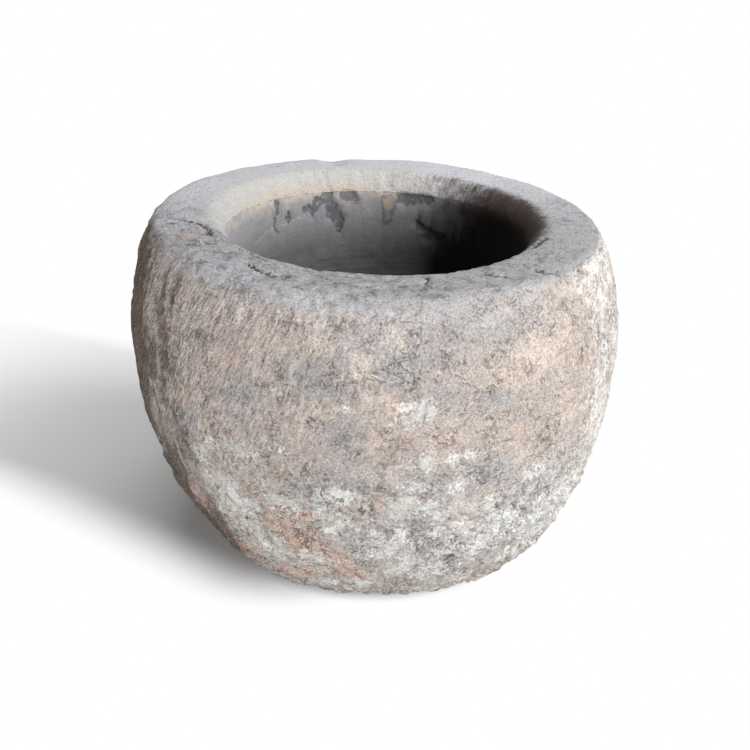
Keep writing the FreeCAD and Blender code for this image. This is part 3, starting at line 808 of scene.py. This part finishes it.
def outside_tint(paint, settings, grains):
    """Colour of the outside, and how far its pecks and pits stand out."""
    place, along, up = grains["place"], grains["along"], grains["up"]
    broad, mottle, grit = grains["broad"], grains["mottle"], grains["grit"]
    speck, other = grains["speck"], grains["other"]
    pecks = paint.grain(paint.flat(along - up * 0.35, up * 0.3), 3.4, 3, 0.6)
    layers = paint.grain(paint.flat(along * 0.1, up), 3.6, 3, 0.6)
    low = paint.step(up, 0.22, 0.08)
    plates = paint.grain(place, 15, 4, 0.55, 0.7)
    flaky = paint.step(broad + mottle.off() * 0.5 + low * 0.25, 0.45, 0.8)
    # Lines at the flakes' feet and heads, for painted shade under the flakes and a painted highlight along
    # their edges.
    plate_foot_shade = paint.line(plates, 0.47, 0.045) * flaky
    plate_head_highlight = paint.line(plates, 0.58, 0.07) * flaky
    creased = paint.step(paint.grain(paint.turned(place, (1, 2, 3)), 26), 0.5, 0.8)
    crevice = paint.line(paint.grain(place, 10, 4, 0.6, 0.8), GRAIN_MIDDLE, 0.05) * creased

    grey_level = paint.attribute("grey") * 0.55 + broad * 0.2 + mottle * 0.4 + grit * 0.25 - 0.38
    tint = paint.stain(settings.tan, settings.grey, grey_level, 0.0, 0.6, 0.9)
    rust = paint.attribute("rust")
    rust_level = rust * 0.85 + mottle.off() * 0.6 + grit.off() * 0.25
    tint = paint.stain(tint, settings.rust, rust_level, 0.3, 0.85, 0.75)
    cream_level = paint.attribute("cream") * 0.55 + other * 0.45 + grit * 0.25 + mottle * 0.2 - 0.3
    tint = paint.stain(tint, settings.cream, cream_level, 0.32, 0.8, 0.7)
    bloom = low * (1 - rust * 0.8) * 0.62
    tint = paint.stain(tint, settings.lime, mottle * 0.65 + grit * 0.35, 0.2, 0.8, bloom)
    # Painted highlight: a pale line along the flakes' heads.
    tint = paint.mix(plate_head_highlight * 0.3, tint, settings.lime)
    lime_level = paint.attribute("lime") * 0.9 + mottle * 0.4 + grit * 0.25 + speck * 0.15 - 0.42
    tint = paint.stain(tint, settings.lime, lime_level, 0.3, 0.65, 0.85)
    # Soil, and painted shade on the left side, in dark brown.
    soil_level = paint.attribute("soil_and_shade") + grit.off() * 0.35 + mottle.off() * 0.5 + broad.off() * 0.3
    tint = paint.stain(tint, settings.umber, soil_level, 0.05, 0.75, 0.85)
    pecked = paint.attribute("pecked")
    tint = paint.shade(tint, 1 + pecked * 0.2 + pecks.off() * pecked * 0.6)
    # Painted shade: darker in the pits and pecks, where the relief is low.
    pit_shade_level = paint.attribute("relief") * 0.55 + grit * 0.3 + speck * 0.1 + pecks.off() * pecked * 0.5
    tint = paint.stain(tint, settings.umber, pit_shade_level, 0.40, 0.16, 0.4)
    # Painted shade in the crevices and at the flakes' feet.
    tint = paint.mix((crevice * 0.5).most(plate_foot_shade * 0.35), tint, settings.umber)
    veined = paint.step(broad + mottle.off() * 0.6, 0.68, 0.9)
    vein = paint.line(paint.grain(place, 30, 5, 0.62), GRAIN_MIDDLE, 0.04) * veined
    tint = paint.mix(vein * 0.6, tint, settings.umber)

    height = mottle * 1.3 + grit * 0.6 + speck * 0.3 + other * 0.2 + pecks * pecked * 1.6 - vein * 0.8
    height = height + paint.step(plates, 0.45, 0.53) * flaky * 0.8 - crevice * 0.9
    height = height + layers.off() * paint.attribute("layered") * 1.2
    return tint, height


def rim_tint(paint, settings, grains):
    """Colour of the rim's top, and how far its strands and specks stand out."""
    turn, out = grains["turn"], grains["out"]
    mottle, grit, speck = grains["mottle"], grains["grit"], grains["speck"]
    rough = paint.attribute("rough_rim")
    pale = paint.attribute("pale")
    wisps = paint.grain(paint.flat(turn * 0.3 + out * 0.25, out), 3.4, 4, 0.68, 0.4)
    tint = paint.mix(pale * 0.9, settings.rim, settings.pale_rim)
    tint = paint.stain(tint, settings.tan, mottle + grit.off() * 0.5, 0.45, 0.95, 0.35)
    tint = paint.stain(tint, settings.tan, paint.attribute("oval") + grit.off() * 0.2, 0.42, 0.6, 0.75)
    strands = rough * 0.6
    tint = paint.stain(tint, settings.lip, wisps, 0.55, 0.95, strands)
    tint = paint.stain(tint, settings.umber, wisps + mottle.off() * 0.4, 0.4, 0.02, strands)
    flecks = (1 - pale * 0.75) * 0.45
    tint = paint.stain(tint, settings.hollow, grit * 0.6 + speck * 0.4, 0.36, 0.12, flecks)
    blotches = (1 - pale * 0.8) * 0.5
    tint = paint.stain(tint, settings.hollow, mottle + grit.off() * 0.6, 0.46, 0.1, blotches)
    height = wisps * rough * 0.9 + grit * 0.45 + speck * 0.3
    return tint, height


def bowl_tint(paint, settings, grains):
    """Colour of the bowl's wall: grey with faint level bands, ochre under the lip, dark hollows, a chip."""
    turn, up = grains["turn"], grains["up"]
    mottle, grit, speck = grains["mottle"], grains["grit"], grains["speck"]
    bands = paint.grain(paint.flat(turn * 0.05, up), 5, 4, 0.65)
    lower = paint.step(up, 0.27, 0.2)
    tint = paint.shade(settings.bowl, 0.88 + mottle * 0.12 + bands * 0.12 + bands.off() * lower * 0.9)
    ochre_level = paint.attribute("ochre") * 0.8 + mottle.off() * 0.9 + grit.off() * 0.5
    tint = paint.stain(tint, settings.ochre, ochre_level, 0.25, 0.95, 0.75)
    hair = paint.attribute("hair") + grit.off() * 1.2
    tint = paint.stain(tint, settings.lime, hair, 1.9, 0.9, 0.35)
    tint = paint.stain(tint, settings.hollow, hair, 0.9, 0.3, 0.7)
    hollow_level = paint.attribute("hollow") + grit.off() * 0.2 + mottle.off() * 0.12
    hollow = paint.stain(settings.hollow, settings.lime, speck * 0.5 + grit * 0.5, 0.6, 0.86, 0.7)
    tint = paint.stain(tint, hollow, hollow_level, 0.38, 0.54, 0.85)
    chip_level = paint.attribute("chip") + grit.off() * 0.15
    tint = paint.stain(tint, settings.hollow, chip_level, 0.4, 0.46, 0.7)
    tint = paint.stain(tint, settings.ochre, chip_level + mottle.off() * 0.3, 0.46, 0.6, 0.65)
    return paint.stain(tint, settings.cream, chip_level + mottle.off() * 0.5, 0.65, 0.85, 0.4)


def stone_finish(settings):
    """Weathered stone: skin, grains, stains, soil and painted shade outside, worn rim, pale lip, grey bowl
    with painted shade.
    """
    paint = Paint(bpy.data.materials.new("weathered_stone"), "ShaderNodeOutputMaterial")
    place = paint.place()
    grains = {
        "place": place,
        "broad": paint.grain(place, 45, 4, 0.6),
        "mottle": paint.grain(place, 13, 5, 0.65),
        "grit": paint.grain(place, 4.2, 4, 0.7),
        "speck": paint.grain(place, 1.8, 3, 0.7),
        "other": paint.grain(paint.turned(place, (0.5, 0.3, 0.2)), 3.0, 3, 0.65),
    }
    for way in ("along", "up", "turn", "out"):
        grains[way] = paint.attribute(way)
    mottle, grit, speck = grains["mottle"], grains["grit"], grains["speck"]
    outside, outside_height = outside_tint(paint, settings, grains)
    rim, rim_height = rim_tint(paint, settings, grains)
    bowl = bowl_tint(paint, settings, grains)
    streak = paint.grain(paint.flat(grains["turn"], grains["out"] * 0.1), 2.4, 3, 0.65)

    rim_level = paint.attribute("rim") + mottle.off() * 0.45 + grit.off() * 0.35
    rim_share = paint.step(rim_level, 0.2, 0.8)
    colour = paint.mix(rim_share, outside, rim)
    lip = paint.stain(settings.lip, settings.cream, streak + mottle.off() * 0.6, 0.4, 0.9, 0.2)
    ochre_level = paint.attribute("ochre") * 0.8 + mottle.off() * 0.9
    lip = paint.stain(lip, settings.ochre, ochre_level, 0.3, 0.9, 0.6)
    lip_level = paint.attribute("lip") + streak.off() * 0.5 + mottle.off() * 0.2
    colour = paint.mix(paint.step(lip_level, 0.25, 1.1), colour, lip)
    bowl_share = paint.step(paint.attribute("bowl") + grit.off() * 0.3, 0.3, 0.7)
    colour = paint.mix(bowl_share, colour, bowl)
    # The lip's brown on the right, partly a stain and partly painted shade, with a streaky fringe.
    fringe = streak.off() * (1 - bowl_share) * 0.18
    brown_and_shade_level = paint.attribute("brown") * 1.1 + fringe + mottle.off() * 0.5
    colour = paint.stain(colour, settings.lip_brown_and_shade, brown_and_shade_level, 0.15, 0.95, 0.95)
    # Painted shade: the bowl darkens towards the dark stain colour deep down and on its right.
    colour = paint.mix(paint.attribute("shade") * 0.99, colour, settings.stain)
    crack_level = paint.attribute("crack") + grit.off() * 2.2 + mottle.off() * 1.2 + speck.off() * 0.6
    crack_share = paint.step(crack_level, 1.2, 0.2)
    colour = paint.mix(crack_share * 0.85, colour, settings.umber)

    rough = 1 - bowl_share * 0.9
    speckled = rough * (1 - rim_share * (0.65 - paint.attribute("rough_rim") * 0.4))
    # Grain tone that follows the bump: partly grain, partly painted shade in its hollows and painted
    # highlight on its crests.
    speckle = speck.off() * 0.75 + grit.off() * 0.35 + mottle.off() * 0.3
    colour = paint.shade(colour, 1 + speckle * speckled)
    height = outside_height * (1 - rim_share) + rim_height * rim_share
    return paint.surface(colour, 0.92, 2.2 * MM, (height - 0.4) * rough - crack_share * 0.5)


def crust_finish(settings, stone_settings):
    """Chalky lime with pinkish stain in its hollows and stone showing at its thin edges."""
    paint = Paint(bpy.data.materials.new("lime_crust"), "ShaderNodeOutputMaterial")
    place = paint.place()
    speck = paint.grain(place, 2.2, 4, 0.7)
    mottle = paint.grain(place, 7, 4, 0.65)
    stained = paint.step(mottle + speck.off() * 0.5, 0.35, 0.85)
    colour = paint.mix(stained, settings.colour, settings.stain)
    edge_level = paint.attribute("middle") + speck.off() * 0.8 + mottle.off() * 0.4
    colour = paint.stain(colour, stone_settings.tan, edge_level, 0.5, 0.0, 0.7)
    colour = paint.stain(colour, stone_settings.umber, speck + mottle.off() * 0.3, 0.3, 0.05, 0.55)
    return paint.surface(colour, 0.95, 1.8 * MM, speck * 0.9 + mottle * 0.7)


# Lime crust: bearing, height, half width and half height of each patch, as in the solids.
CRUST_PATCHES = (
    (-43, 168, 13, 9), (-31, 182, 18, 8), (-38, 143, 25, 11), (-37, 114, 8, 12), (-22, 138, 25, 11),
    (-31.5, 99, 9, 13), (-27, 67, 11, 20), (-11, 125, 10, 13), (1, 85, 8, 12), (-19.5, 64, 12, 7),
    (9, 226, 21, 13), (11, 183, 12, 11), (5.5, 139, 17, 20), (27, 127, 7, 9), (19, 105, 22, 9),
    (13, 58, 11, 7),
)

# Levels of the patches at which the crust is first cut out roughly, and at which it ends.
CRUST_REACH = 0.3
CRUST_EDGE = 0.6

# Patches with fewer vertices are crumbs. They are taken away until none is left, within a few rounds.
CRUMB_VERTICES = 40
CRUMB_ROUNDS = 8


def crust_field(stone):
    """1 in the middle of the crust's ragged patches, CRUST_EDGE at their edges."""
    field = patches(stone, CRUST_PATCHES)
    ragged = 0.32 * lumps(stone.points, 9, octaves=3, seed=21) + 0.2 * lumps(stone.points, 3.5, seed=23)
    return np.clip(field + ragged * (field > 0), 0, 1)


def drop_vertices(piece, drop):
    """Takes away the marked vertices of a piece, and what hangs loose after that."""
    select_only(piece)
    bpy.ops.object.mode_set(mode="EDIT")
    bpy.ops.mesh.select_mode(type="VERT")
    bpy.ops.mesh.select_all(action="DESELECT")
    bpy.ops.object.mode_set(mode="OBJECT")
    piece.data.vertices.foreach_set("select", drop)
    bpy.ops.object.mode_set(mode="EDIT")
    bpy.ops.mesh.delete(type="VERT")
    bpy.ops.mesh.select_all(action="SELECT")
    bpy.ops.mesh.delete_loose()
    bpy.ops.object.mode_set(mode="OBJECT")


def patch_numbers(ends, count):
    """A number for each vertex that is the same all over a joined patch, from the ends of the edges."""
    number = np.arange(count)
    while True:
        before = number.copy()
        least = np.minimum(number[ends[:, 0]], number[ends[:, 1]])
        np.minimum.at(number, ends[:, 0], least)
        np.minimum.at(number, ends[:, 1], least)
        number = number[number]
        if (number == before).all():
            return number


def drop_crumbs(piece):
    """Takes away points where patches of crust only touch, and crumbs of a few faces."""
    for _ in range(CRUMB_ROUNDS):
        mesh = piece.data
        count = len(mesh.vertices)
        ends = np.empty(2 * len(mesh.edges), int)
        mesh.edges.foreach_get("vertices", ends)
        ends = ends.reshape(-1, 2)
        sides = np.empty(len(mesh.loops), int)
        mesh.loops.foreach_get("edge_index", sides)
        border = ends[np.bincount(sides, minlength=len(ends)) == 1]
        pinched = np.bincount(border.ravel(), minlength=count) > 2
        patch = patch_numbers(ends, count)
        crumb = np.bincount(patch, minlength=count)[patch] < CRUMB_VERTICES
        if not (pinched | crumb).any():
            return
        drop_vertices(piece, pinched | crumb)
    raise RuntimeError("patches of the crust still touch at points")


def grow_crust(piece, settings):
    """Cuts a copy of the stone's surface down to ragged patches and thickens them outwards."""
    drop_vertices(piece, patches(Stone(piece.data), CRUST_PATCHES) < CRUST_REACH)
    bpy.ops.object.mode_set(mode="EDIT")
    bpy.ops.mesh.select_all(action="SELECT")
    bpy.ops.mesh.subdivide(number_cuts=2, smoothness=0)
    bpy.ops.object.mode_set(mode="OBJECT")
    drop_vertices(piece, crust_field(Stone(piece.data)) < CRUST_EDGE)
    drop_crumbs(piece)
    stone = Stone(piece.data)
    middle = ease(CRUST_EDGE - 0.02, CRUST_EDGE + 0.3, crust_field(stone))
    rough = lumps(stone.points, 3.2, seed=22)
    thick = settings.thickness / MM * (middle * (0.7 + 0.7 * rough) + 0.1)
    move_vertices(piece.data, keep_in_box(stone.points + stone.normals * thick[:, None]))
    paint_vertices(piece.data, "middle", middle)
    finish_with(piece, "SOLIDIFY", thickness=settings.thickness * 1.6, offset=-1)


class TROUGH_OT_stone_block(bpy.types.Operator):
    """Cut the block finer than its solid, hew it and paint it"""
    bl_idname = "trough.stone_block"
    bl_label = "Stone block"

    def execute(self, context):
        settings = context.scene.trough_stone
        piece = copy_of_solid("stone_block", "hewn_block")
        finish_with(piece, "REMESH", mode="VOXEL", voxel_size=settings.grain, use_smooth_shade=True)
        finish_with(piece, "SMOOTH", factor=0.5, iterations=4)
        round_edges(piece)
        stone = Stone(piece.data)
        widen_foot(stone)
        move, marks = hew(stone, settings)
        move_vertices(piece.data, keep_in_box(stone.points + stone.normals * move[:, None]))
        paint_stone(piece.data, stone, marks)
        triangles = 2 * len(piece.data.polygons)
        finish_with(piece, "DECIMATE", ratio=min(1.0, MOST_TRIANGLES / triangles))
        bpy.ops.object.shade_smooth()
        piece.data.materials.append(stone_finish(settings))
        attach(piece, "root")
        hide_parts("stone_block")
        return {"FINISHED"}


class TROUGH_OT_lime_crust(bpy.types.Operator):
    """Grow the lime crust on the hewn block"""
    bl_idname = "trough.lime_crust"
    bl_label = "Lime crust"

    def execute(self, context):
        settings = context.scene.trough_crust
        block = bpy.data.objects["hewn_block"]
        piece = bpy.data.objects.new("crust_patches", block.data.copy())
        context.scene.collection.objects.link(piece)
        piece.data.materials.clear()
        grow_crust(piece, settings)
        bpy.ops.object.shade_smooth()
        piece.data.materials.append(crust_finish(settings, context.scene.trough_stone))
        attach(piece, "root")
        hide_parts("lime_crust")
        return {"FINISHED"}


# Way in which the trough's shadow lies on the floor, and the way across it.
SHADOW_WAY = (-0.87, 0.49, 0.0)
SHADOW_SIDE = (0.49, 0.87, 0.0)

# The shadow's strip on the floor, in metres: where it starts along its way, how fast the floor turns
# white before that, how far it lies aside, and how fast it narrows.
SHADOW_START = 0.09
SHADOW_BLUNTNESS = 1.4
SHADOW_ASIDE = 0.06
SHADOW_NARROWING = 0.165

# Distances over which the floor turns white: past the foot, beside the shadow's strip, and far off.
FOOT_EDGE = (0.12, 0.15)
SHADOW_EDGE = (0.19, 0.28)
FAR_EDGE = (0.32, 0.83)


def floor_finish(settings):
    """Pale floor that keeps the shadow near the trough and is plain white to the camera farther off."""
    paint = Paint(bpy.data.materials.new("pale_floor"), "ShaderNodeOutputMaterial")
    pale = paint.node("ShaderNodeBsdfDiffuse", None, {"Color": tuple(settings.floor)})
    white = paint.node("ShaderNodeEmission", None, {"Color": (1, 1, 1), "Strength": 1.0})
    place = paint.place()
    away = paint.measure("LENGTH", place)
    along = paint.measure("DOT_PRODUCT", place, SHADOW_WAY)
    aside = paint.measure("DOT_PRODUCT", place, SHADOW_SIDE)
    before = (SHADOW_START - along).most(0.0) * SHADOW_BLUNTNESS
    beside = paint.measure("LENGTH", paint.flat(before, aside - SHADOW_ASIDE))
    beside = beside + along.most(0.0) * SHADOW_NARROWING
    past_shadow = paint.step(away, *FAR_EDGE).most(paint.step(beside, *SHADOW_EDGE))
    share = past_shadow * paint.step(away, *FOOT_EDGE) * paint.seen()
    return paint.finish(paint.node("ShaderNodeMixShader", None, {0: share, 1: pale, 2: white}))


def room_light(strength):
    """Even light from all round, white where the camera looks past the floor."""
    paint = Paint(bpy.data.worlds.new("pale_room"), "ShaderNodeOutputWorld")
    soft = paint.node("ShaderNodeBackground", None, {"Color": (1, 1, 1), "Strength": strength})
    white = paint.node("ShaderNodeBackground", None, {"Color": (1, 1, 1), "Strength": 1.0})
    return paint.finish(paint.node("ShaderNodeMixShader", None, {0: paint.seen(), 1: soft, 2: white}))


# Lamps: bearing and angle above the floor in degrees, then distance and sides in metres. Each faces
# the trough's middle.
LAMPS = {
    "side": (68, 35, 2.0, (1.0, 1.0)),
    "front": (-15, 6, 2.5, (1.8, 0.5)),
    "top": (0, 88, 2.2, (1.4, 1.4)),
}
LAMP_TARGET = (0, 0, 0.18)

# The floor's side and the camera's place in metres, then how far it looks down in degrees and its
# sensor in millimetres.
FLOOR_SIDE = 12
CAMERA_PLACE = (0, -1.1796, 0.7093)
CAMERA_DOWN = 24.85
SENSOR_WIDTH = 36


def lamp(name, bearing, rise, away, size, power):
    """A soft lamp that faces the trough."""
    light = bpy.data.lights.new(name, "AREA")
    light.shape = "RECTANGLE"
    light.size, light.size_y = size
    light.energy = power
    item = bpy.data.objects.new(name, light)
    turn, rise = math.radians(bearing), math.radians(rise)
    arm = Vector((math.cos(rise) * math.sin(turn), -math.cos(rise) * math.cos(turn), math.sin(rise)))
    item.location = Vector(LAMP_TARGET) + away * arm
    item.rotation_euler = (-arm).to_track_quat("-Z", "Y").to_euler()
    bpy.context.scene.collection.objects.link(item)


class TROUGH_OT_stage(bpy.types.Operator):
    """Lay the floor and set the lamps and the camera"""
    bl_idname = "trough.stage"
    bl_label = "Stage"

    def execute(self, context):
        settings = context.scene.trough_stage
        bpy.ops.object.select_all(action="DESELECT")
        bpy.ops.mesh.primitive_plane_add(size=FLOOR_SIDE, location=(0, 0, 0))
        floor = context.object
        floor.name = "pale_floor"
        floor.data.materials.append(floor_finish(settings))
        context.scene.world = room_light(settings.sky)
        powers = {"side": settings.side_power, "front": settings.front_power, "top": settings.top_power}
        for side, place in LAMPS.items():
            lamp(f"{side}_lamp", *place, powers[side])
        camera = bpy.data.cameras.new("camera")
        camera.lens = settings.lens
        camera.sensor_width = SENSOR_WIDTH
        holder = bpy.data.objects.new("camera", camera)
        holder.location = CAMERA_PLACE
        holder.rotation_euler = (math.radians(90 - CAMERA_DOWN), 0, 0)
        context.scene.collection.objects.link(holder)
        context.scene.camera = holder
        context.scene.view_settings.view_transform = "Standard"
        return {"FINISHED"}


class TROUGH_PT_panel(bpy.types.Panel):
    """The trough's pieces and settings"""
    bl_idname = "TROUGH_PT_panel"
    bl_label = "Old Stone Trough"
    bl_space_type = "VIEW_3D"
    bl_region_type = "UI"
    bl_category = "Trough"

    def draw(self, context):
        rows = (
            (TROUGH_OT_stone_block, context.scene.trough_stone),
            (TROUGH_OT_lime_crust, context.scene.trough_crust),
            (TROUGH_OT_stage, context.scene.trough_stage),
        )
        for operator, settings in rows:
            box = self.layout.box()
            for name in settings.__annotations__:
                box.prop(settings, name)
            box.operator(operator.bl_idname)


CLASSES = (StoneSettings, CrustSettings, StageSettings, TROUGH_OT_stone_block, TROUGH_OT_lime_crust,
           TROUGH_OT_stage, TROUGH_PT_panel)


def register():
    for each in CLASSES:
        bpy.utils.register_class(each)
    bpy.types.Scene.trough_stone = bpy.props.PointerProperty(type=StoneSettings)
    bpy.types.Scene.trough_crust = bpy.props.PointerProperty(type=CrustSettings)
    bpy.types.Scene.trough_stage = bpy.props.PointerProperty(type=StageSettings)


def unregister():
    del bpy.types.Scene.trough_stone
    del bpy.types.Scene.trough_crust
    del bpy.types.Scene.trough_stage
    for each in reversed(CLASSES):
        bpy.utils.unregister_class(each)


def main():
    register()
    bpy.ops.trough.stage()
    bpy.ops.trough.stone_block()
    bpy.ops.trough.lime_crust()


if __name__ == "__main__":
    main()
